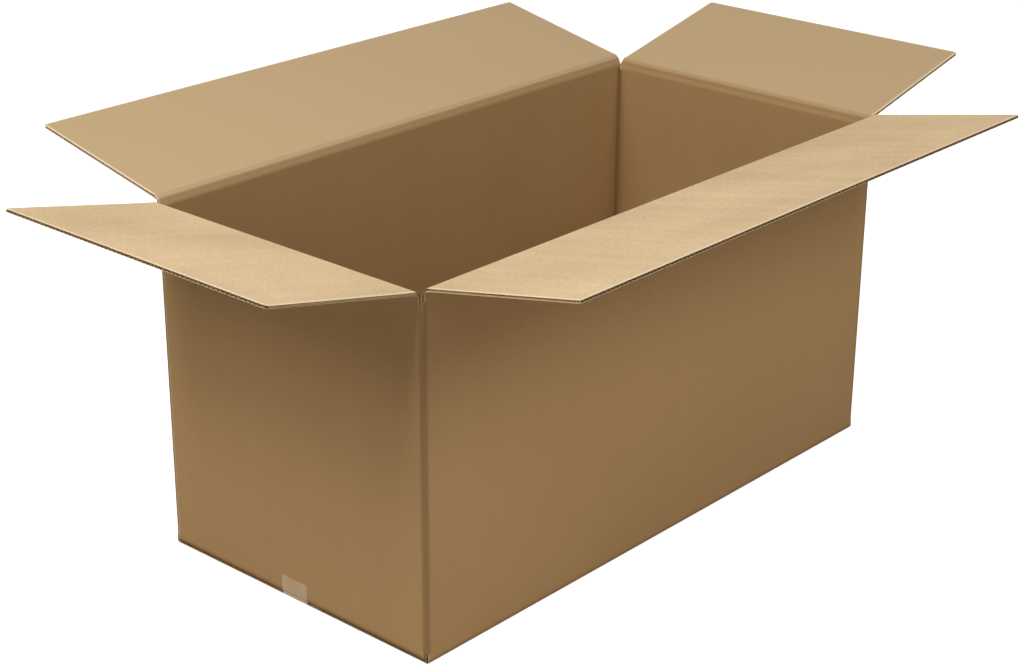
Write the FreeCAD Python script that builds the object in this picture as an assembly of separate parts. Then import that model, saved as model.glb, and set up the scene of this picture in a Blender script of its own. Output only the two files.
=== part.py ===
import FreeCAD, Part
import math
import os

# Open shipping box: a regular slotted box folded from one sheet of corrugated board.
# It stands on its closed and taped bottom, with its four top flaps folded outward.
# Millimetres, +Z up, +X along the long side, origin at the centre of the base.

# Inside of the box when it is closed
inner_length = 1000.0
inner_width = 500.0
inner_height = 508.0

# Corrugated board: two liners with one row of flutes between them
liner_thickness = 0.5
flute_height = 4.5
flute_pitch = 8.0
medium_thickness = 0.7
flute_depth = 6.0
flute_margin = 7.0

# Folds: the outer liner is the hinge, and the board is crushed on the inner side
wall_crease_band = 10.0
flap_crease_band = 6.0
hinge_play = 0.3
corner_band = 9.0
corner_crush = 2.0
upright_fold_radius = 6.5
bottom_fold_radius = 4.0
layer_gap = 0.3

# Slots that part the flaps at the corners
long_flap_inset = 3.0
short_flap_play = 0.5
slot_overrun = 2.5
meeting_gap = 1.0
flap_corner_radius = 5.0

# Glue joint at the back left corner: a tab of the back wall behind the left wall
tab_width = 38.0
tab_slant = 14.0
tab_clearance = 3.0
tab_fold_setback = 2.0
joint_gap = 1.0

# Tape along the bottom seam, turned up both end walls
tape_width = 50.0
tape_thickness = 0.15
tape_turn_up = 33.0

# How far each open flap stands above the horizontal, in degrees
front_angle = 11.6
back_angle = 11.8
left_angle = 12.5
right_angle = 12.5

# Worked out from the sizes above
board = flute_height + 2 * liner_thickness
half_length = inner_length / 2 + board
half_width = inner_width / 2 + board
end_base = board + layer_gap
floor_top = end_base + board
short_hinge = floor_top + inner_height + board
long_hinge = short_hinge + layer_gap + board
short_flap_inset = board + short_flap_play
long_flap_half = half_length - long_flap_inset
short_flap_half = half_width - short_flap_inset
flap_length = half_width - meeting_gap / 2
top_slot = short_hinge - slot_overrun
bottom_slot = end_base + slot_overrun
joint_end = half_width - upright_fold_radius - joint_gap
reach = 2 * (half_length + half_width)
shortest_edge = 0.001


def point(x, y, z):
    return FreeCAD.Vector(x, y, z)


def rounded_wire(corners):
    """Closed wire in the XY plane through corners given as x, y and corner radius."""
    edges = []
    ends = []
    count = len(corners)
    for index in range(count):
        x, y, radius = corners[index]
        here = point(x, y, 0)
        before = point(corners[index - 1][0], corners[index - 1][1], 0)
        after = point(corners[(index + 1) % count][0], corners[(index + 1) % count][1], 0)
        to_before = (before - here).normalize()
        to_after = (after - here).normalize()
        if radius <= 0:
            ends.append((here, here))
            continue
        half_turn = to_before.getAngle(to_after) / 2
        start = here + to_before * (radius / math.tan(half_turn))
        stop = here + to_after * (radius / math.tan(half_turn))
        bisector = (to_before + to_after).normalize()
        middle = here + bisector * (radius / math.sin(half_turn) - radius)
        edges.append(Part.Arc(start, middle, stop).toShape())
        ends.append((start, stop))
    for index in range(count):
        start = ends[index - 1][1]
        stop = ends[index][0]
        if start.distanceToPoint(stop) > shortest_edge:
            edges.append(Part.LineSegment(start, stop).toShape())
    return Part.Wire(Part.__sortEdges__(edges))


def prism(corners, sweep):
    """Solid made by sweeping a closed polygon of points along a vector."""
    return Part.Face(Part.makePolygon(corners + corners[:1])).extrude(sweep)


def block(low, high):
    """Box between two opposite corners."""
    size = high - low
    return Part.makeBox(size.x, size.y, size.z, low)


def wall_ring():
    """The four walls and the glue tab, as one folded strip seen from above."""
    x = half_length
    y = half_width
    tab_face = -x + board
    tab_edge = y - board - tab_width
    outer = [
        (x, y, upright_fold_radius),
        (x, -y, upright_fold_radius),
        (-x, -y, upright_fold_radius),
        (-x, joint_end, 0),
        (tab_face, joint_end, 0),
        (-x + tab_fold_setback, y - upright_fold_radius, 0),
        (-x + tab_fold_setback, y, upright_fold_radius),
    ]
    inner = []
    for sign_x, sign_y in ((1, 1), (1, -1), (-1, -1)):
        inner.extend(crushed_corner(sign_x, sign_y, sign_x * (x - board)))
    inner.append((tab_face, tab_edge, 0))
    inner.append((tab_face + board, tab_edge, 0))
    inner.extend(crushed_corner(-1, 1, tab_face + board))
    plan = Part.Face(rounded_wire(outer)).cut(Part.Face(rounded_wire(inner)))
    return plan.extrude(point(0, 0, long_hinge - hinge_play))


def crushed_corner(sign_x, sign_y, corner_x):
    """Inside of one upright fold, where the board is crushed towards the outer liner."""
    corner_y = sign_y * (half_width - board)
    along_x = (corner_x - sign_x * corner_band, corner_y, 0)
    crushed = (corner_x + sign_x * corner_crush, corner_y + sign_y * corner_crush, 0)
    along_y = (corner_x, corner_y - sign_y * corner_band, 0)
    if sign_x == sign_y:
        return [along_x, crushed, along_y]
    return [along_y, crushed, along_x]


def tab_trim():
    """What is trimmed off the glue tab, so that it tapers and clears the flaps."""
    x = half_length
    fold = half_width - board
    edge = fold - tab_width
    top = short_hinge - board - tab_clearance
    bottom = floor_top + tab_clearance
    over = board
    above = prism([point(-x - over, fold, top), point(-x - over, edge - over, top - tab_slant),
                   point(-x - over, edge - over, long_hinge), point(-x - over, fold, long_hinge)],
                  point(3 * board + over, 0, 0))
    below = prism([point(-x - over, fold, bottom), point(-x - over, edge - over, bottom + tab_slant),
                   point(-x - over, edge - over, -over), point(-x - over, fold, -over)],
                  point(3 * board + over, 0, 0))
    behind_wall = block(point(-x + board, edge - over, -over), point(-x + 2 * board, fold, long_hinge))
    beside_wall = block(point(-x - over, min(joint_end, fold - hinge_play), -over),
                        point(-x + board, fold, long_hinge))
    room = behind_wall.fuse(beside_wall)
    return [above.common(room), below.common(room)]


def slot_cuts():
    """Slots at the corners, and the lower top and higher base of the end walls."""
    cuts = []
    for side in (-1, 1):
        inside = side * (half_length - board)
        outside = side * (half_length + board)
        xs = sorted((inside, outside))
        cuts.append(block(point(xs[0], -short_flap_half, short_hinge - hinge_play),
                          point(xs[1], short_flap_half, long_hinge)))
        cuts.append(block(point(xs[0], -short_flap_half, -board),
                          point(xs[1], short_flap_half, end_base)))
        for end in (-1, 1):
            xs = sorted((side * long_flap_half, outside))
            ys = sorted((end * short_flap_half, end * (half_width + board)))
            cuts.append(block(point(xs[0], ys[0], top_slot), point(xs[1], ys[1], long_hinge)))
            cuts.append(block(point(xs[0], ys[0], -board), point(xs[1], ys[1], bottom_slot)))
    return cuts


def top_crease_cuts():
    """Crushed band on the inner side of each top fold, down to the outer liner at the hinge."""
    cuts = []
    for side in (-1, 1):
        y = side * half_width
        inside_y = side * (half_width - board)
        slot_y = side * short_flap_half
        cuts.append(prism([point(-long_flap_half, slot_y, long_hinge - wall_crease_band),
                           point(-long_flap_half, inside_y, long_hinge - wall_crease_band),
                           point(-long_flap_half, y, long_hinge),
                           point(-long_flap_half, slot_y, long_hinge)],
                          point(2 * long_flap_half, 0, 0)))
        x = side * half_length
        inside_x = side * (half_length - board)
        cuts.append(prism([point(inside_x, -short_flap_half, short_hinge - wall_crease_band),
                           point(x, -short_flap_half, short_hinge),
                           point(inside_x, -short_flap_half, short_hinge)],
                          point(0, 2 * short_flap_half, 0)))
    return cuts


def bottom_flaps():
    """Four closed bottom flaps: the short pair inside, the long pair under it."""
    flaps = []
    for side in (-1, 1):
        ys = sorted((side * meeting_gap / 2, side * half_width))
        flaps.append(block(point(-long_flap_half, ys[0], 0), point(long_flap_half, ys[1], board)))
        xs = sorted((side * (half_length - flap_length), side * half_length))
        flaps.append(block(point(xs[0], -short_flap_half, end_base),
                           point(xs[1], short_flap_half, floor_top)))
    return flaps


def fold_rounding(start, outward, along):
    """Corner to be taken off a bottom fold, with its sharp edge from start along a vector."""
    up = point(0, 0, 1)
    centre = start - outward * bottom_fold_radius + up * bottom_fold_radius
    middle = centre + (outward - up).normalize() * bottom_fold_radius
    below = centre - up * bottom_fold_radius
    beside = centre + outward * bottom_fold_radius
    edges = [
        Part.Arc(below, middle, beside).toShape(),
        Part.LineSegment(beside, start).toShape(),
        Part.LineSegment(start, below).toShape(),
    ]
    return Part.Face(Part.Wire(edges)).extrude(along)


def bottom_rounding():
    """Rounded outer side of the four bottom folds."""
    cuts = []
    for side in (-1, 1):
        cuts.append(fold_rounding(point(-long_flap_half, side * half_width, 0),
                                  point(0, side, 0), point(2 * long_flap_half, 0, 0)))
        cuts.append(fold_rounding(point(side * half_length, -short_flap_half, end_base),
                                  point(side, 0, 0), point(0, 2 * short_flap_half, 0)))
    return cuts


def tape_recess():
    """Shallow pressed strip under the seam, where the tape lies flush with the base."""
    return block(point(-half_length, -tape_width / 2, -board),
                 point(half_length, tape_width / 2, tape_thickness))


def box_body():
    """Walls, glue tab and bottom flaps, as one folded sheet."""
    walls = wall_ring().cut(slot_cuts() + tab_trim())
    body = walls.fuse(bottom_flaps()).removeSplitter()
    return body.cut(top_crease_cuts() + bottom_rounding() + [tape_recess()])


def flute_openings(width):
    """Triangular flute ends along a free edge, base up and base down by turns."""
    slope = math.atan(2 * flute_height / flute_pitch)
    half_base = flute_pitch / 2 - medium_thickness / (2 * math.sin(slope))
    rise = half_base * math.tan(slope)
    count = int((width - 2 * flute_margin) / flute_pitch)
    first = -count * flute_pitch / 2
    into = flap_length - flute_depth
    out = point(0, flute_depth + 1, 0)
    openings = []
    for index in range(count):
        x = first + (index + 0.25) * flute_pitch
        top = board - liner_thickness
        openings.append(prism([point(x - half_base, into, top), point(x + half_base, into, top),
                               point(x, into, top - rise)], out))
        x = first + (index + 0.75) * flute_pitch
        low = liner_thickness
        openings.append(prism([point(x - half_base, into, low), point(x + half_base, into, low),
                               point(x, into, low + rise)], out))
    return openings


def flap(half_span):
    """One top flap lying flat: hinge line on the X axis, outer liner down, free edge at +Y."""
    plan = rounded_wire([
        (-half_span, hinge_play, 0),
        (half_span, hinge_play, 0),
        (half_span, flap_length, flap_corner_radius),
        (-half_span, flap_length, flap_corner_radius),
    ])
    sheet = Part.Face(plan).extrude(point(0, 0, board))
    crease = prism([point(-half_span, 0, 0), point(-half_span, flap_crease_band, board),
                    point(-half_span, 0, board)], point(2 * half_span, 0, 0))
    return sheet.cut([crease] + flute_openings(2 * half_span))


def opened(sheet, angle, heading, hinge):
    """Turns a flat flap up by its rest angle and carries it to the top of its wall."""
    tilt = FreeCAD.Placement(point(0, 0, 0), FreeCAD.Rotation(point(1, 0, 0), angle))
    turn = FreeCAD.Placement(hinge, FreeCAD.Rotation(point(0, 0, 1), heading))
    placed = sheet.copy()
    placed.transformShape(turn.multiply(tilt).toMatrix())
    return placed


def bottom_tape():
    """Tape under the bottom seam, carried round both end folds and up the end walls."""
    centre_x = half_length - bottom_fold_radius
    centre_z = end_base + bottom_fold_radius
    corner_x = long_flap_half
    corner_z = tape_thickness
    span = math.hypot(corner_x - centre_x, centre_z - corner_z)
    lean = math.atan2(corner_z - centre_z, corner_x - centre_x) + math.acos(bottom_fold_radius / span)
    touch_x = centre_x + bottom_fold_radius * math.cos(lean)
    touch_z = centre_z + bottom_fold_radius * math.sin(lean)
    middle_x = centre_x + bottom_fold_radius * math.cos(lean / 2)
    middle_z = centre_z + bottom_fold_radius * math.sin(lean / 2)
    top = tape_turn_up + board
    edges = [Part.LineSegment(point(-corner_x, 0, corner_z), point(corner_x, 0, corner_z)).toShape(),
             Part.LineSegment(point(half_length, 0, top), point(-half_length, 0, top)).toShape()]
    for side in (-1, 1):
        touch = point(side * touch_x, 0, touch_z)
        wall = point(side * half_length, 0, centre_z)
        edges.append(Part.LineSegment(point(side * corner_x, 0, corner_z), touch).toShape())
        edges.append(Part.Arc(touch, point(side * middle_x, 0, middle_z), wall).toShape())
        edges.append(Part.LineSegment(wall, point(side * half_length, 0, top)).toShape())
    covered = Part.Face(Part.Wire(Part.__sortEdges__(edges)))
    wrapped = covered.makeOffset2D(tape_thickness).cut(covered)
    strip = wrapped.extrude(point(0, tape_width, 0))
    strip.translate(point(0, -tape_width / 2, 0))
    return strip.common(block(point(-reach, -reach, -board), point(reach, reach, tape_turn_up)))


def build():
    """All pieces at rest, by node name."""
    long_flap = flap(long_flap_half)
    short_flap = flap(short_flap_half)
    return {
        "box_body": box_body(),
        "flap_front": opened(long_flap, front_angle, 180, point(0, -half_width, long_hinge)),
        "flap_back": opened(long_flap, back_angle, 0, point(0, half_width, long_hinge)),
        "flap_left": opened(short_flap, left_angle, 90, point(-half_length, 0, short_hinge)),
        "flap_right": opened(short_flap, right_angle, -90, point(half_length, 0, short_hinge)),
        "bottom_tape": bottom_tape(),
    }


os.makedirs("parts", exist_ok=True)
for name, shape in build().items():
    shape.exportStep("parts/" + name + ".step")
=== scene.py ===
import math

import bpy
import numpy as np
from mathutils import Matrix, Vector


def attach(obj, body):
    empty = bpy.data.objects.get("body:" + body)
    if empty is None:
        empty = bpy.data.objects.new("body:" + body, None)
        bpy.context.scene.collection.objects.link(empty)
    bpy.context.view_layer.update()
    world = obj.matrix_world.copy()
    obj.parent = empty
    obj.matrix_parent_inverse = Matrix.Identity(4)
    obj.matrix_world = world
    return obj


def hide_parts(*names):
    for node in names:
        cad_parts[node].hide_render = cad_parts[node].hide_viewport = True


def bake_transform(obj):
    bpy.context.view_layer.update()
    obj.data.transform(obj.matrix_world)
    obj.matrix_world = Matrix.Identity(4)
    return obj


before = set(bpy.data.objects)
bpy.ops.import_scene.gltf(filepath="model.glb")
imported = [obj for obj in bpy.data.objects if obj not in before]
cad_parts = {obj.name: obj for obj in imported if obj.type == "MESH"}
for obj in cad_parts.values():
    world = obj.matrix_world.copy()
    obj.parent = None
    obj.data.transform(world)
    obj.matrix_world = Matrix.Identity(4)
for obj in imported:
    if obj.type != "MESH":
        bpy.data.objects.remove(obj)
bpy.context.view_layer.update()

print("frame loaded:", sorted(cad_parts))

# The folded blank, in metres, as in the solids
blank = {
    "halfLength": 0.5055,
    "halfWidth": 0.2555,
    "board": 0.0055,
    "liner": 0.00055,
    "medium": 0.0006,
    "flutePitch": 0.008,
    "longFold": 0.5306,
    "shortFold": 0.5248,
    "longHalf": 0.5025,
    "shortHalf": 0.2495,
    "flapLength": 0.255,
    "strip": 0.014,          # the part of a wall that is made with its flap
    "mediumInset": 0.0004,   # how far the medium ends inside the liners
    "mediumSideInset": 0.0006,
    "pathStep": 0.0001,      # spacing of the tables that describe the folds
    "pathSpare": 0.002,      # how far those tables go past the sheet
    "slotTop": 0.5223,
    "slotBottom": 0.0083,
    "endBase": 0.0058,
    "meetingGap": 0.001,
    "jointEnd": 0.0075,
    "tabWidth": 0.038,
    "tabSlant": 0.014,
    "tabClear": 0.003,
    "tabSetback": 0.002,
}

board = blank["board"]
linerShare = blank["liner"] / board
mediumShare = blank["medium"] / board
up = np.array([0.0, 0.0, 1.0])

# Each wall: its outward direction, the direction across its flutes, and half its length.
# Across, up and inward make a right-handed set, so faces made in that order point outwards.
walls = {
    "left": {"out": (-1, 0, 0), "across": (0, 1, 0), "reach": blank["halfLength"]},
    "back": {"out": (0, 1, 0), "across": (1, 0, 0), "reach": blank["halfWidth"]},
    "right": {"out": (1, 0, 0), "across": (0, -1, 0), "reach": blank["halfLength"]},
    "front": {"out": (0, -1, 0), "across": (-1, 0, 0), "reach": blank["halfWidth"]},
}
longWalls = ("front", "back")


def smooth(x):
    # 0 below 0, 1 above 1, and 3x^2 - 2x^3 between
    x = np.clip(x, 0.0, 1.0)
    return x * x * (3.0 - 2.0 * x)


class BoardMesh:
    # Collects the layers of a piece of corrugated board and makes one mesh of them

    def __init__(self):
        self.points, self.quads, self.kinds, self.flat, self.edgeFoldSide = [], [], [], [], []
        self.count = 0

    def layer(self, across, along, low, high, place, marks, kind, keep=None):
        # Two skins over a grid of across by along, at shares low and high of the board's thickness,
        # joined by narrow faces wherever the kept cells end. Place turns (a, l, share) into a point,
        # and marks gives the distances to the cut edge and the fold and where the blank's zero lies.
        # Kind is the material of the skins: 0 liner, 2 medium. Edges of a liner are 1, cut paper.
        a, l = np.broadcast_arrays(across[:, None], along)
        low = np.broadcast_to(low, a.shape)
        high = np.broadcast_to(high, a.shape)
        under, over = np.arange(2 * a.size).reshape(2, *a.shape) + self.count
        if keep is None:
            keep = np.ones((a.shape[0] - 1, a.shape[1] - 1), bool)
        ringed = np.pad(keep, 1)
        i, j = np.nonzero(keep)
        skins = [
            np.stack([over[i, j], over[i + 1, j], over[i + 1, j + 1], over[i, j + 1]], 1),
            np.stack([under[i, j], under[i, j + 1], under[i + 1, j + 1], under[i + 1, j]], 1),
        ]
        edges = []
        # The four sides of a cell: its neighbour there, and its two corners on that side in order
        sides = [
            (ringed[:-2, 1:-1], (0, 0), (0, 1)),
            (ringed[2:, 1:-1], (1, 1), (1, 0)),
            (ringed[1:-1, :-2], (1, 0), (0, 0)),
            (ringed[1:-1, 2:], (0, 1), (1, 1)),
        ]
        for neighbour, first, last in sides:
            i, j = np.nonzero(keep & ~neighbour)
            p, q = (i + first[0], j + first[1]), (i + last[0], j + last[1])
            edges.append(np.stack([under[p], over[p], over[q], under[q]], 1))
        edgeDistance, foldDistance, start = marks(a, l)
        for share in (low, high):
            self.points.append(place(a, l, share).reshape(-1, 3))
            self.flat.append(np.stack([a + start[0], l + start[1], share * board], -1).reshape(-1, 3))
            self.edgeFoldSide.append(np.stack([edgeDistance, foldDistance, share], -1).reshape(-1, 3))
        skins = np.concatenate(skins)
        edges = np.concatenate(edges)
        self.quads += [skins, edges]
        self.kinds += [np.full(len(skins), kind), np.full(len(edges), max(kind, 1))]
        self.count += 2 * a.size

    def liners(self, across, along, place, marks, keep=None):
        # The outer and the inner liner
        self.layer(across, along, 0.0, linerShare, place, marks, 0, keep)
        self.layer(across, along, 1.0 - linerShare, 1.0, place, marks, 0, keep)

    def flutes(self, start, stop, rows, place, marks):
        # The wavy medium: its middle line is half the board plus a sine of the distance across
        perFlute = 8
        count = max(3, int(round((stop - start) / blank["flutePitch"] * perFlute)) + 1)
        columns = np.linspace(start, stop, count)
        swing = 0.5 - linerShare - mediumShare / 2
        middle = 0.5 + swing * np.sin(2 * np.pi * columns / blank["flutePitch"])[:, None]
        self.layer(columns, rows(columns), middle - mediumShare / 2, middle + mediumShare / 2,
                   place, marks, 2)

    def finish(self, name, materials):
        points = np.concatenate(self.points)
        used, quads = np.unique(np.concatenate(self.quads), return_inverse=True)
        quads = quads.reshape(-1, 4)
        mesh = bpy.data.meshes.new(name)
        mesh.vertices.add(len(used))
        mesh.vertices.foreach_set("co", points[used].astype(np.float32).ravel())
        mesh.loops.add(quads.size)
        mesh.loops.foreach_set("vertex_index", quads.astype(np.int32).ravel())
        mesh.polygons.add(len(quads))
        mesh.polygons.foreach_set("loop_start", np.arange(0, quads.size, 4, dtype=np.int32))
        for material in materials:
            mesh.materials.append(material)
        mesh.polygons.foreach_set("material_index", np.concatenate(self.kinds).astype(np.int32))
        mesh.polygons.foreach_set("use_smooth", np.ones(len(quads), bool))
        # The second attribute holds the distances to a cut edge and to a fold, for the painted
        # highlight and painted shade, and the share of the thickness
        for key, values in (("blankPlace", self.flat), ("edgeFoldSidePlace", self.edgeFoldSide)):
            field = mesh.attributes.new(key, "FLOAT_VECTOR", "POINT")
            field.data.foreach_set("vector", np.concatenate(values)[used].astype(np.float32).ravel())
        mesh.update(calc_edges=True)
        mesh.validate()
        sharpAngle = 38.0
        mesh.set_sharp_from_angle(angle=math.radians(sharpAngle))
        made = bpy.data.objects.new(name, mesh)
        bpy.context.scene.collection.objects.link(made)
        return made


class Wire:
    # A socket of a material that adds Math nodes when it is used in an expression

    def __init__(self, recipe, socket):
        self.recipe, self.socket = recipe, socket

    def math(self, operation, *values):
        return self.recipe.node("ShaderNodeMath", {"operation": operation}, dict(enumerate(values)))

    def __add__(self, other):
        return self.math("ADD", self, other)

    def __radd__(self, other):
        return self.math("ADD", other, self)

    def __sub__(self, other):
        return self.math("SUBTRACT", self, other)

    def __rsub__(self, other):
        return self.math("SUBTRACT", other, self)

    def __mul__(self, other):
        return self.math("MULTIPLY", self, other)

    def __rmul__(self, other):
        return self.math("MULTIPLY", other, self)

    def sine(self):
        return self.math("SINE", self)

    def step(self, low, high):
        # 0 at low, 1 at high, smooth between
        return self.recipe.node(
            "ShaderNodeMapRange", {"interpolation_type": "SMOOTHSTEP"},
            {0: self, 1: low, 2: high, 3: 0.0, 4: 1.0})


class Recipe:
    # A material under construction

    def __init__(self, name):
        self.material = bpy.data.materials.new(name)
        self.material.use_nodes = True
        self.tree = self.material.node_tree
        self.tree.nodes.clear()

    def node(self, kind, settings=None, inputs=None, output=0):
        made = self.tree.nodes.new(kind)
        for key, value in (settings or {}).items():
            setattr(made, key, value)
        for key, value in (inputs or {}).items():
            if isinstance(value, Wire):
                self.tree.links.new(value.socket, made.inputs[key])
            else:
                made.inputs[key].default_value = value
        return Wire(self, made.outputs[output]) if made.outputs else None

    def attribute(self, name):
        return self.node("ShaderNodeAttribute", {"attribute_name": name}, output="Vector")

    def parts(self, vector):
        split = self.node("ShaderNodeSeparateXYZ", None, {0: vector})
        return [Wire(self, split.socket.node.outputs[k]) for k in range(3)]

    def vector(self, x, y, z):
        return self.node("ShaderNodeCombineXYZ", None, {0: x, 1: y, 2: z})

    def noise(self, vector, scale, detail=2.0, roughness=0.5):
        return self.node("ShaderNodeTexNoise", None,
                         {"Vector": vector, "Scale": scale, "Detail": detail, "Roughness": roughness})

    def mix(self, factor, first, second):
        return self.node("ShaderNodeMix", {"data_type": "RGBA"},
                         {0: factor, 6: first, 7: second}, output=2)

    def relief(self, height):
        # Bump from a height in metres
        return self.node("ShaderNodeBump", None, {"Strength": 1.0, "Distance": 1.0, "Height": height})

    def surface(self, inputs):
        shader = self.node("ShaderNodeBsdfPrincipled", None, inputs)
        self.node("ShaderNodeOutputMaterial", None, {0: shader})
        return self.material


def tone(red, green, blue):
    # An sRGB colour of 0 to 255 as the linear colour that shaders use
    values = []
    for value in (red, green, blue):
        value /= 255.0
        values.append(value / 12.92 if value <= 0.04045 else ((value + 0.055) / 1.055) ** 2.4)
    return (*values, 1.0)


kraft = {
    "outer": (198, 158, 108),
    "outerDeep": (190, 150, 100),
    "inner": (181, 147, 101),
    "innerDeep": (172, 138, 91),
    # flap is the flaps' inner side, painted lighter than the walls' inner side where light falls; the
    # deeper tone is its blotches on the near flaps and all of the painted shade on the far flaps
    "flap": (237, 208, 164),
    "flapDeepAndShaded": (197, 168, 126),
    "fleck": (132, 100, 66),
    "fibre": (226, 200, 162),
    # edge is the pale fibres of a cut edge, and also the tone of the painted highlight along cut edges
    "edge": (243, 225, 196),
    "medium": (204, 172, 128),
    "mediumDeep": (172, 139, 98),
    "flapStart": (0.522, 0.534),     # heights on the flat blank where the flaps' painted lit tone begins
    "foldShade": 0.62,       # how far the painted shade at a fold goes to the fleck's tone
    "foldBand": (0.0015, 0.0085),    # distances from a fold over which that fades
    "edgeHighlightBand": (0.001, 0.0045),      # distances from a cut edge over which the painted highlight fades
    "edgeHighlightStart": (0.526, 0.54),       # heights over which it grows from the slots to the flaps
    "edgeHighlightSlot": 0.2,
    "edgeHighlightFlap": 0.55,         # the painted highlight that a flap's edge has more than a slot's
    "washboard": 0.00003,    # height of the flutes that show through the liner
}


def kraftLiner(name, depth):
    # Brown liner paper: a nearly even, slightly cloudy tone, faint streaks along the flutes, short
    # fibres and a few flecks, and painted light: a painted lit inner side on the flaps, painted shade
    # at the folds, and a painted highlight along cut edges. Depth 0 paints the flaps' inner side as
    # lit and 1 paints it in shade.
    r = Recipe(name)
    across, along, height = r.parts(r.attribute("blankPlace"))
    # Distances to the cut edge and the fold, for the painted highlight and painted shade, and the
    # share of the thickness
    edge, fold, share = r.parts(r.attribute("edgeFoldSidePlace"))
    side = height * 400.0
    sheet = r.vector(across, along, side)
    cloud = r.noise(sheet, 5.0, 3.0, 0.55)
    formation = r.noise(sheet, 170.0, 3.0, 0.6)
    streak = r.noise(r.vector(across * 46.0, along * 1.6, side), 1.0, 2.0, 0.5)
    fibre = r.noise(r.vector(across * 420.0, along * 1900.0, side), 1.0, 2.0, 0.6)
    fleck = r.noise(sheet, 800.0, 1.0, 0.4)
    uneven = (cloud - 0.5) * 0.6 + (formation - 0.5) * 0.6 + (streak - 0.5) * 0.25 + 0.5
    blotch = uneven.step(0.1, 0.9)
    outer = r.mix(blotch, tone(*kraft["outerDeep"]), tone(*kraft["outer"]))
    inner = r.mix(blotch, tone(*kraft["innerDeep"]), tone(*kraft["inner"]))
    # Painted light: above the fold the inner side takes the flaps' lighter tone, and depth 1 paints it
    # all in the deep tone as shade
    flap = r.mix(blotch * (1.0 - depth), tone(*kraft["flapDeepAndShaded"]), tone(*kraft["flap"]))
    inner = r.mix(along.step(*kraft["flapStart"]), inner, flap)
    colour = r.mix(share.step(0.45, 0.55), outer, inner)
    colour = r.mix(fibre.step(0.58, 0.74) * 0.14, colour, tone(*kraft["fibre"]))
    colour = r.mix(fleck.step(0.72, 0.8) * 0.3, colour, tone(*kraft["fleck"]))
    # Painted shade at the folds: the colour goes towards the fleck's tone near each fold
    pressed = (1.0 - fold.step(*kraft["foldBand"])) * kraft["foldShade"]
    colour = r.mix(pressed, colour, tone(*kraft["fleck"]))
    # Painted highlight along cut edges: the colour goes towards the edge's pale tone, more on the
    # flaps than at the slots
    edgeHighlightStrength = along.step(*kraft["edgeHighlightStart"]) * kraft["edgeHighlightFlap"] + kraft["edgeHighlightSlot"]
    edgeHighlight = (1.0 - edge.step(*kraft["edgeHighlightBand"])) * edgeHighlightStrength
    colour = r.mix(edgeHighlight * (0.5 + formation), colour, tone(*kraft["edge"]))
    wave = (across * (2 * math.pi / blank["flutePitch"])).sine()
    height = wave * kraft["washboard"] + (formation - 0.5) * 0.00006 + (fibre - 0.5) * 0.00003
    return r.surface({"Base Color": colour, "Roughness": 0.76 + blotch * 0.08 + formation * 0.08,
                      "Normal": r.relief(height), "Specular IOR Level": 0.2})


def cutPaper():
    # The cut edge of the liners: pale torn fibres with darker specks
    r = Recipe("cut_paper")
    place = r.attribute("blankPlace")
    grain = r.noise(place, 1500.0, 3.0, 0.65)
    nick = r.noise(place, 260.0, 2.0, 0.5)
    colour = r.mix(grain.step(0.3, 0.7), tone(*kraft["outer"]), tone(*kraft["edge"]))
    colour = r.mix(nick.step(0.6, 0.72) * 0.35, colour, tone(*kraft["fleck"]))
    return r.surface({"Base Color": colour, "Roughness": 0.8 + grain * 0.15,
                      "Normal": r.relief((grain - 0.5) * 0.0002), "Specular IOR Level": 0.2})


def flutingPaper():
    # The medium: rougher paper, a little darker than the liners' cut edges
    r = Recipe("fluting_paper")
    place = r.attribute("blankPlace")
    grain = r.noise(place, 700.0, 3.0, 0.6)
    cloud = r.noise(place, 60.0, 2.0, 0.5)
    blotch = (grain * 0.6 + cloud * 0.4).step(0.25, 0.75)
    colour = r.mix(blotch, tone(*kraft["mediumDeep"]), tone(*kraft["medium"]))
    return r.surface({"Base Color": colour, "Roughness": 0.85 + grain * 0.1,
                      "Normal": r.relief((grain - 0.5) * 0.0003), "Specular IOR Level": 0.15})


tape = {
    "film": (200, 168, 126),
    "pressed": (186, 152, 108),
    "roughness": 0.36,
}


def tapeFilm():
    # Tan tape: a slightly glossy film that takes the board's colour where it is pressed down, with
    # faint lengthways streaks in the glue and small bubbles
    r = Recipe("tape_film")
    place = r.node("ShaderNodeTexCoord", output="Object")
    x, y, z = r.parts(place)
    glue = r.noise(r.vector(x * 14.0, y * 160.0, z * 14.0), 1.0, 3.0, 0.55)
    bubble = r.noise(place, 330.0, 2.0, 0.5)
    crease = r.noise(r.vector(x * 60.0, y * 9.0, z * 60.0), 1.0, 2.0, 0.6)
    pressed = (glue * 0.7 + bubble * 0.3).step(0.35, 0.62)
    colour = r.mix(pressed, tone(*tape["film"]), tone(*tape["pressed"]))
    height = (glue - 0.5) * 0.0002 + (crease - 0.5) * 0.0003 + (bubble - 0.5) * 0.00006
    return r.surface({"Base Color": colour, "Roughness": tape["roughness"] + bubble * 0.15,
                      "Normal": r.relief(height), "Coat Weight": 0.2})


# One paper as two copies: one painted as lit for the near flaps and the walls, one painted in shade
# for the far flaps
paintedLitLiner, paintedShadeLiner = kraftLiner("kraft_liner_painted_lit", 0.0), kraftLiner("kraft_liner_painted_shade", 1.0)
edgeMaterials = [cutPaper(), flutingPaper()]
tapeMaterial = tapeFilm()
print("materials made")


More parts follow.
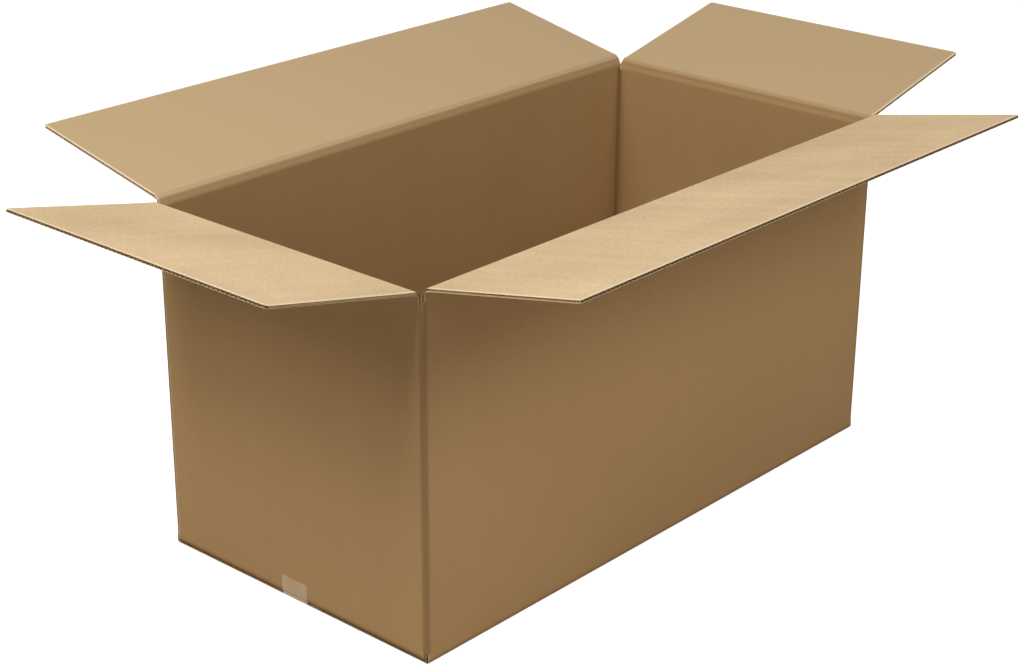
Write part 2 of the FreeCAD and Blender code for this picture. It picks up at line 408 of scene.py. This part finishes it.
body = {
    "foldReach": 0.018,      # how far each side of a corner its table goes
    "crush": 0.002,          # what an upright fold takes off the board's inner corner
    "softness": 0.0047,      # spread of the bell curve that rounds an upright fold
    "glueReach": 0.022,      # the same as foldReach, for the corner with the glue joint
    "glueGap": 0.0002,
    "tabStep": (0.0085, 0.0045),     # where the back wall steps out from the tab to its own face
    "cutColumns": (0.0005, 0.0015, 0.004, 0.01, 0.02),
    "cutMedium": 0.024,      # how far the medium is made behind the left wall's cut end
    "columnMedium": 0.49,    # height from which it is made in the corner columns
    "bottomCrushedTo": 0.003,
    "bottomBend": 0.0032,
    "bottomBand": 0.009,
}


def softLine(corners, softness, count):
    # A polyline resampled evenly and smoothed with a bell curve, so that its corners are rounded
    corners = np.array(corners, float)
    steps = np.linalg.norm(np.diff(corners, axis=0), axis=1)
    place = np.concatenate([[0.0], np.cumsum(steps)])
    fine = np.linspace(0.0, place[-1], 801)
    line = np.stack([np.interp(fine, place, corners[:, k]) for k in range(2)], 1)
    sigma = softness / (fine[1] - fine[0])
    span = int(4 * sigma)
    bell = np.exp(-0.5 * (np.arange(-span, span + 1) / sigma) ** 2)
    bell /= bell.sum()
    smoothed = []
    for k in range(2):
        ahead = 2 * line[0, k] - line[span:0:-1, k]
        behind = 2 * line[-1, k] - line[-2:-span - 2:-1, k]
        smoothed.append(np.convolve(np.concatenate([ahead, line[:, k], behind]), bell, "valid"))
    wanted = np.linspace(0.0, place[-1], count)
    return np.stack([np.interp(wanted, fine, values) for values in smoothed], 1)


def wallPlan():
    # The strip of walls seen from above, as a table of outer and inner points against the distance
    # along the flat blank: from the glue tab's free edge, round the box, to the left wall's cut end.
    x, y, t = blank["halfLength"], blank["halfWidth"], board
    reach, glueReach = body["foldReach"], body["glueReach"]
    crush, soft = body["crush"], body["softness"]
    tabFace = -x + t + body["glueGap"]
    setBack = -x + blank["tabSetback"]
    tabEdge = y - t - blank["tabWidth"]
    leaves, arrives = body["tabStep"]
    outer = [[(tabFace, tabEdge)], softLine(
        [(tabFace, y - glueReach), (tabFace, y - leaves), (setBack, y - arrives), (setBack, y),
         (-x + glueReach, y)], soft * 0.6, 29)]
    inner = [[(tabFace + t, tabEdge)], softLine(
        [(tabFace + t, y - glueReach), (tabFace + t - crush, y - t + crush), (-x + glueReach, y - t)],
        soft * 0.4, 29)]
    turns = [((x, y), (1, 0), (0, -1)), ((x, -y), (0, -1), (-1, 0)), ((-x, -y), (-1, 0), (0, 1))]
    for corner, coming, going in turns:
        c, d1, d2 = np.array(corner), np.array(coming), np.array(going)
        outer.append(softLine([c - d1 * reach, c, c + d2 * reach], soft, 25))
        inner.append(softLine(
            [c - d1 * reach + d2 * t, c + (d2 - d1) * (t - crush), c + d2 * reach - d1 * t],
            soft * 0.5, 25))
    outer.append([(-x, y - blank["jointEnd"])])
    inner.append([(-x + t, y - blank["jointEnd"])])
    starts = np.cumsum([0] + [len(part) for part in outer])
    outer = np.concatenate([np.array(part) for part in outer])
    inner = np.concatenate([np.array(part) for part in inner])
    middle = (outer + inner) / 2
    s = np.concatenate([[0.0], np.cumsum(np.linalg.norm(np.diff(middle, axis=0), axis=1))])
    return s, outer, inner, [(s[starts[k]], s[starts[k + 1] - 1]) for k in range(1, 5)]


planS, planOuter, planInner, foldZones = wallPlan()
glueZone, farZone, rightZone, nearZone = foldZones
foldMiddles = np.array([(low + high) / 2 for low, high in foldZones])

# Where the middle of each wall lies on the flat blank
walls["back"]["middle"] = glueZone[1] + blank["halfLength"] - body["glueReach"]
walls["right"]["middle"] = farZone[1] + blank["halfWidth"] - body["foldReach"]
walls["front"]["middle"] = rightZone[1] + blank["halfLength"] - body["foldReach"]
walls["left"]["middle"] = nearZone[1] + blank["halfWidth"] - body["foldReach"]


def foldPath(start, stop, before, after, bend, wallEnd, foldHeight):
    # Outline of the outer liner through one fold, as a table: the direction turns smoothly from
    # before to after over the bend, and the place is the running sum of the direction. The wall's
    # end lies on the wall's face, and the flap's end on the straight line through the fold.
    step = blank["pathStep"]
    l = np.arange(start, stop + step, step)
    turn = before + (after - before) * smooth((l + bend) / (2 * bend))
    out = np.concatenate([[0.0], np.cumsum(np.cos((turn[1:] + turn[:-1]) / 2)) * step])
    high = np.concatenate([[0.0], np.cumsum(np.sin((turn[1:] + turn[:-1]) / 2)) * step])
    flapEnd = -1 - wallEnd
    out -= out[wallEnd]
    high += foldHeight + out[flapEnd] * math.tan(turn[flapEnd]) - high[flapEnd]
    return l, turn, out, high


def foldPlace(wall, path, thickness, lift):
    # Point of the board at a across, l along and a share of the thickness: the path's place, plus
    # the lift of the outer liner and that share of the thickness along the path's normal.
    l0, turn0, out0, high0 = path
    outward = np.array(wall["out"], float)
    across = np.array(wall["across"], float)

    def place(a, l, share):
        turn = np.interp(l, l0, turn0)
        rise = share * thickness(a, l) + lift(a, l)
        out = np.interp(l, l0, out0) - np.sin(turn) * rise
        high = np.interp(l, l0, high0) + np.cos(turn) * rise
        return (across * a[..., None] + outward * (wall["reach"] + out)[..., None]
                + up * high[..., None])

    return place


def crushed(low, below, above):
    # Thickness of the board near a fold at l = 0: low at the fold, full beyond the band on each side
    return lambda a, l: low + (board - low) * smooth(np.where(l < 0, -l / below, l / above))


def sideColumns(half, middle):
    # Columns across a flap, close together at its two side edges
    near = np.array([0.0, 0.0004, 0.001, 0.002, 0.0032, 0.0044, 0.0056, 0.009, 0.016, 0.03])
    inner = np.linspace(-half + near[-1], half - near[-1], middle)[1:-1]
    return np.concatenate([near - half, inner, half - near[::-1]])


topFlaps = {
    "crushedTo": 0.0026,     # thickness of the board at the fold
    "wallBand": 0.0105,
    "flapBand": 0.0065,
    "bend": 0.0022,
    "pinch": 0.0014,         # what the cut takes off the board's thickness at an edge
    "pinchBand": 0.0035,
    "pinchStart": 0.02,
    "foldFade": 4.0,         # how much faster the painted fold shade fades on the flap than on the wall
    "foldEase": 0.0045,      # keeps the painted shade at a top fold paler than at an upright one
    # The near flaps take the liner painted as lit, the far flaps the liner painted in shade
    "front": {"rest": 11.6, "radii": (0.005, 0.005), "liner": paintedLitLiner},
    "back": {"rest": 11.8, "radii": (0.005, 0.005), "liner": paintedShadeLiner},
    "left": {"rest": 12.5, "radii": (0.009, 0.005), "liner": paintedLitLiner},
    "right": {"rest": 12.5, "radii": (0.005, 0.005), "liner": paintedShadeLiner},
}


def topFlap(side):
    # A wall's top strip, its fold and its flap, as one sheet that bends at the fold
    look = topFlaps[side]
    wall = walls[side]
    isLong = side in longWalls
    fold = blank["longFold"] if isLong else blank["shortFold"]
    half = blank["longHalf"] if isLong else blank["shortHalf"]
    length, strip, spare = blank["flapLength"], blank["strip"], blank["pathSpare"]
    rest = math.radians(look["rest"])
    path = foldPath(-strip - spare, length + spare, math.pi / 2, rest, topFlaps["bend"], 0, fold)
    stripEnd = path[0][0] + fold - strip - path[3][0]

    def freeEdge(a):
        # The two free corners are rounded: near a side the edge runs back along a quarter circle
        radius = np.where(a < 0, *look["radii"])
        into = np.clip(radius - (half - np.abs(a)), 0.0, radius)
        return length - radius + np.sqrt(np.maximum(radius ** 2 - into ** 2, 0.0))

    def cutDistance(a, l):
        return np.minimum(half - np.abs(a), freeEdge(a) - l)

    def pinch(a, l):
        # Where the board was cut, its two liners come closer together
        near = 1 - smooth(cutDistance(a, l) / topFlaps["pinchBand"])
        return topFlaps["pinch"] * near * smooth(l / topFlaps["pinchStart"])

    full = crushed(topFlaps["crushedTo"], topFlaps["wallBand"], topFlaps["flapBand"])
    place = foldPlace(wall, path, lambda a, l: full(a, l) - pinch(a, l), lambda a, l: pinch(a, l) / 2)
    base = np.concatenate([[stripEnd], np.arange(-0.012, 0.0121, 0.001)])
    shares = np.array([0.08, 0.16, 0.28, 0.42, 0.56, 0.7, 0.82, 0.9, 0.95, 0.975, 0.99, 0.997, 1.0])

    def rows(a, far):
        outwards = base[-1] + far * (freeEdge(a)[:, None] - base[-1])
        return np.concatenate([np.repeat(base[None, :], len(a), 0), outwards], 1)

    def marks(a, l):
        foldDistance = np.where(l < 0, -l, topFlaps["foldFade"] * l) + topFlaps["foldEase"]
        return np.maximum(cutDistance(a, l), 0.0), foldDistance, (wall["middle"], fold)

    mesh = BoardMesh()
    columns = sideColumns(half, 40 if isLong else 22)
    mesh.liners(columns, rows(columns, shares), place, marks)
    fluteEnd = half - blank["mediumSideInset"]
    fluteShares = np.array([0.3, 0.6, 0.85, 1.0])
    mesh.flutes(-fluteEnd, fluteEnd, lambda a: rows(a, fluteShares) - blank["mediumInset"],
                place, marks)
    flap = mesh.finish("top_flap_" + side, [look["liner"]] + edgeMaterials)
    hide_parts("flap_" + side)
    outward = np.array(wall["out"], float)
    hinge = outward * wall["reach"] + up * fold
    blendReach = topFlaps["bend"] * 1.2
    tuple(hinge - up * blendReach)
    tuple(hinge + (outward * math.cos(rest) + up * math.sin(rest)) * blendReach)
    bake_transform(flap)


for sideName in walls:
    topFlap(sideName)
print("top flaps made")


def wallPlace(a, l, share):
    # Point of the walls: between the outer and inner outline seen from above, at height l
    outerPoint = np.stack([np.interp(a, planS, planOuter[:, k]) for k in range(2)], -1)
    innerPoint = np.stack([np.interp(a, planS, planInner[:, k]) for k in range(2)], -1)
    plan = outerPoint + (innerPoint - outerPoint) * share[..., None]
    return np.concatenate([plan, l[..., None]], -1)


def wallMarks(a, l):
    foldDistance = np.abs(a[..., None] - foldMiddles).min(-1)
    return np.minimum(a, planS[-1] - a), foldDistance, (0.0, 0.0)


def wallLayers(mesh):
    # The four walls between the strips that belong to the flaps, and the columns at the corners
    strip = blank["strip"]
    longInset = blank["halfLength"] - blank["longHalf"]
    shortInset = blank["halfWidth"] - blank["shortHalf"]
    reach = body["foldReach"]
    tabRoot = glueZone[0] + body["glueReach"] - board
    corners = [
        (tabRoot, glueZone[1] - body["glueReach"] + longInset),
        (farZone[0] + reach - longInset, farZone[1] - reach + shortInset),
        (rightZone[0] + reach - shortInset, rightZone[1] - reach + longInset),
        (nearZone[0] + reach - longInset, nearZone[1] - reach + shortInset),
    ]
    columns = np.concatenate([
        planS[planS > tabRoot], np.ravel(corners), np.linspace(tabRoot, planS[-1], 60),
        planS[-1] - np.array(body["cutColumns"])])
    columns = np.unique(np.round(columns, 6))
    rows = np.array([
        blank["slotBottom"], strip, blank["endBase"] + strip, 0.06, 0.15, 0.25, 0.35, 0.45,
        blank["shortFold"] - strip, blank["longFold"] - strip, blank["slotTop"]])
    middle = (columns[1:] + columns[:-1]) / 2
    isCorner = np.any([(middle > low) & (middle < high) for low, high in corners], axis=0)
    onLong = (middle < corners[1][0]) | ((middle > corners[2][1]) & (middle < corners[3][0]))
    keep = np.ones((len(middle), len(rows) - 1), bool)
    keep[:, 0] = isCorner
    keep[:, 1] = isCorner | onLong
    keep[:, -2] = isCorner | onLong
    keep[:, -1] = isCorner
    mesh.liners(columns, rows, wallPlace, wallMarks, keep)
    # Flutes show at the left wall's cut end and on the tops of the corner columns
    inset = blank["mediumInset"]
    shown = [(planS[-1] - body["cutMedium"], planS[-1] - inset,
              strip + 0.006, blank["shortFold"] - strip)]
    shown += [(low, high, body["columnMedium"], blank["slotTop"] - inset) for low, high in corners]
    for start, stop, low, high in shown:
        rise = np.array([low, (low + high) / 2, high])
        mesh.flutes(start, stop, lambda a: rise, wallPlace, wallMarks)
    return tabRoot


def tabLayers(mesh, tabRoot):
    # The glue tab behind the left wall, with its slanted ends
    columns = np.linspace(0.0, tabRoot, 9)
    depth = (tabRoot - columns) / blank["tabWidth"]
    top = blank["shortFold"] - board - blank["tabClear"] - blank["tabSlant"] * depth
    bottom = blank["endBase"] + board + blank["tabClear"] + blank["tabSlant"] * depth
    shares = np.array([0.0, 0.004, 0.02, 0.1, 0.3, 0.5, 0.7, 0.9, 0.98, 0.996, 1.0])
    mesh.liners(columns, bottom[:, None] + (top - bottom)[:, None] * shares, wallPlace, wallMarks)

    def rows(a):
        high = np.interp(a, columns, top)[:, None]
        low = np.interp(a, columns, bottom)[:, None]
        return low + (high - low) * np.array([0.001, 0.5, 0.999])

    mesh.flutes(blank["mediumInset"], tabRoot, rows, wallPlace, wallMarks)


def bottomFlap(mesh, side):
    # A wall's bottom strip, its fold and its closed bottom flap
    wall = walls[side]
    isLong = side in longWalls
    base = 0.0 if isLong else blank["endBase"]
    half = blank["longHalf"] if isLong else blank["shortHalf"]
    length = blank["halfWidth"] - blank["meetingGap"] / 2 if isLong else blank["flapLength"]
    strip = blank["strip"]
    spare = blank["pathSpare"]
    path = foldPath(-blank["flapLength"] - 2 * spare, strip + spare, 0.0, math.pi / 2,
                    body["bottomBend"], -1, base)
    stripEnd = path[0][-1] + base + strip - path[3][-1]
    free = np.interp(-length, path[2], path[0])
    thickness = crushed(body["bottomCrushedTo"], body["bottomBand"], body["bottomBand"])
    place = foldPlace(wall, path, thickness, lambda a, l: np.zeros_like(l))
    back = np.array([0.0, 0.0004, 0.0012, 0.003, 0.008, 0.03, 0.09, 0.16, 0.22])
    rows = np.concatenate([free + back, np.arange(-0.010, 0.0101, 0.001), [stripEnd]])

    def marks(a, l):
        edgeDistance = np.minimum(half - np.abs(a), l - free)
        return np.maximum(edgeDistance, 0.0), np.abs(l), (wall["middle"], base)

    mesh.liners(sideColumns(half, 16), rows, place, marks)
    fluteEnd = half - blank["mediumSideInset"]
    fluteRows = free + np.array([blank["mediumInset"], 0.02, 0.05])
    mesh.flutes(-fluteEnd, fluteEnd, lambda a: fluteRows, place, marks)


bodyMesh = BoardMesh()
tabLayers(bodyMesh, wallLayers(bodyMesh))
for sideName in walls:
    bottomFlap(bodyMesh, sideName)
bodyPiece = bodyMesh.finish("box_board", [paintedLitLiner] + edgeMaterials)
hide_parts("box_body")
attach(bodyPiece, "box")
print("walls, tab and bottom flaps made")

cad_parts["bottom_tape"].data.materials.clear()
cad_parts["bottom_tape"].data.materials.append(tapeMaterial)


studio = {
    "floorTone": 0.45,       # what the floor gives back to the object
    "floorGlow": 0.72,       # plain white added where the floor is seen near the object
    "floorFade": (2.5, 7.0), # distances over which the added white grows to full
    "floorHalf": 40.0,
    "world": 0.1,
    "lampSize": 1.8,
    "target": (0.0, 0.0, 0.2),
    "lamps": {
        "left": {"place": (-3.0, 0.3, 2.8), "power": 38.0},
        "front": {"place": (0.2, -3.0, 2.8), "power": 44.0},
        "frontLow": {"place": (-0.8, -3.0, 1.4), "power": 7.0},
        "top": {"place": (-2.4, 0.0, 3.8), "power": 70.0},
        "back": {"place": (2.6, 2.6, 2.4), "power": 34.0},
    },
}


def seenShare(recipe):
    # 1 for what the camera, a mirror or a glass sees directly
    path = recipe.node("ShaderNodeLightPath", output="Is Camera Ray")
    for name in ("Is Glossy Ray", "Is Transmission Ray"):
        path = path.math("MAXIMUM", path, recipe.node("ShaderNodeLightPath", output=name))
    return path


def makeFloor():
    # White where it is seen, apart from the object's shadow
    recipe = Recipe("floor_paper")
    seen = seenShare(recipe)
    low = studio["floorTone"]
    diffuse = recipe.node("ShaderNodeBsdfDiffuse", None, {
        "Color": recipe.mix(seen, (low, low, low, 1.0), (1.0, 1.0, 1.0, 1.0))})
    place = recipe.node("ShaderNodeTexCoord", output="Object")
    distance = recipe.node("ShaderNodeVectorMath", {"operation": "LENGTH"}, {0: place}, output="Value")
    far = distance.step(*studio["floorFade"])
    added = far * (1.0 - studio["floorGlow"]) + studio["floorGlow"]
    glow = recipe.node("ShaderNodeEmission", None, {"Strength": seen * added})
    total = recipe.node("ShaderNodeAddShader", None, {0: diffuse, 1: glow})
    recipe.node("ShaderNodeOutputMaterial", None, {0: total})
    wide = studio["floorHalf"]
    corners = [(-wide, -wide, 0), (wide, -wide, 0), (wide, wide, 0), (-wide, wide, 0)]
    mesh = bpy.data.meshes.new("floor")
    mesh.from_pydata(corners, [], [(0, 1, 2, 3)])
    mesh.materials.append(recipe.material)
    floor = bpy.data.objects.new("floor", mesh)
    bpy.context.scene.collection.objects.link(floor)


class WorldRecipe(Recipe):
    # The world's nodes, made in the same way as a material's

    def __init__(self, name):
        world = bpy.data.worlds.new(name)
        bpy.context.scene.world = world
        world.use_nodes = True
        self.tree = world.node_tree
        self.tree.nodes.clear()


def makeWorld():
    recipe = WorldRecipe("studio")
    dim, plain = [
        recipe.node("ShaderNodeBackground", None, {"Color": (1, 1, 1, 1), "Strength": strength})
        for strength in (studio["world"], 1.0)]
    mixed = recipe.node("ShaderNodeMixShader", None, {0: seenShare(recipe), 1: dim, 2: plain})
    recipe.node("ShaderNodeOutputWorld", None, {0: mixed})


def softLamp(name, look):
    data = bpy.data.lights.new(name, "AREA")
    data.shape = "DISK"
    data.size = studio["lampSize"]
    data.energy = look["power"]
    lamp = bpy.data.objects.new(name, data)
    bpy.context.scene.collection.objects.link(lamp)
    lamp.location = look["place"]
    aim = Vector(studio["target"]) - Vector(look["place"])
    lamp.rotation_euler = aim.to_track_quat("-Z", "Y").to_euler()


makeFloor()
makeWorld()
for lampName, lampLook in studio["lamps"].items():
    softLamp(lampName, lampLook)

view = {
    "place": (-2.2472, -1.9535, 1.4891),
    "azimuth": -48.325,
    "elevation": 22.582,
    "roll": 0.33,
    "lens": 74.75,
}

cameraData = bpy.data.cameras.new("camera")
cameraData.sensor_width = 36.0
cameraData.lens = view["lens"]
camera = bpy.data.objects.new("camera", cameraData)
bpy.context.scene.collection.objects.link(camera)
azimuth, elevation = math.radians(view["azimuth"]), math.radians(view["elevation"])
away = Vector((math.sin(azimuth) * math.cos(elevation), -math.cos(azimuth) * math.cos(elevation),
               math.sin(elevation)))
turned = away.to_track_quat("Z", "Y").to_matrix().to_4x4()
roll = Matrix.Rotation(math.radians(view["roll"]), 4, "Z")
camera.matrix_world = Matrix.Translation(view["place"]) @ turned @ roll
bpy.context.scene.camera = camera
bpy.context.scene.view_settings.view_transform = "Standard"
print("studio made")
